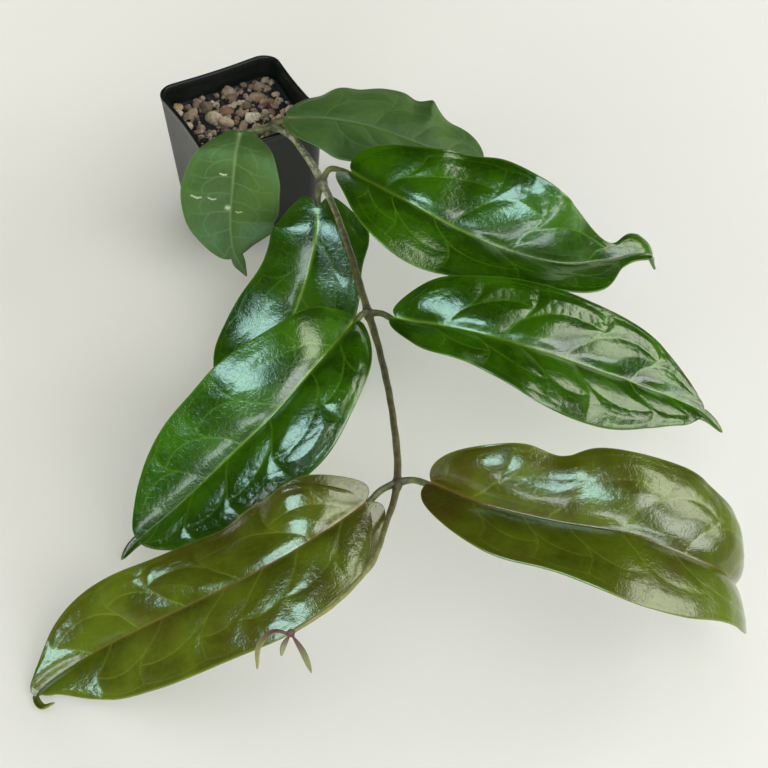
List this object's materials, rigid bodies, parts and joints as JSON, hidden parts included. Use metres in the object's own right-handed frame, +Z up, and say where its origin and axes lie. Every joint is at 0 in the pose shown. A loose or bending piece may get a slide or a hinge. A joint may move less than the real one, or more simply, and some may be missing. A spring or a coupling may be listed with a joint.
{
  "type": "potted hoya plant",
  "caption": "Young hoya vine with large glossy quilted leaves in opposite pairs, trailing over the rim of a small square black nursery pot filled with bark and grit.",
  "frame": {"origin": "middle of the pot's flat underside", "axes": "+Z up; the vine leaves the pot over its front rim and trails towards -Y; +X is to the right when the plant is seen from -Y, and the pot's walls are turned 26 degrees about Z from the axes"},
  "size_m": [0.2802, 0.3957, 0.088],
  "materials": {
    "pot": "satin black moulded plastic, slightly scuffed",
    "grit": "dry matt grit in cream, tan, pink and pale green over black bark",
    "stem": "smooth olive brown bark, mottled cream on the oldest length",
    "old_leaf": "dull grey green with a pale midrib",
    "leaf": "glossy deep green, quilted, with pale yellow green veins",
    "young_leaf": "glossy olive green with a bronze midrib",
    "growing_tip": "soft pale green and brown"
  },
  "bodies": {
    "root": {"pot": "pot", "potting_mix": "grit", "stem": "stem", "leaf_a": "old_leaf", "leaf_b": "old_leaf", "leaf_c": "leaf", "leaf_d": "leaf", "leaf_e": "leaf", "leaf_f": "leaf", "leaf_g": "young_leaf", "leaf_h": "young_leaf", "growing_tip": "growing_tip"}
  },
  "joints": []
}
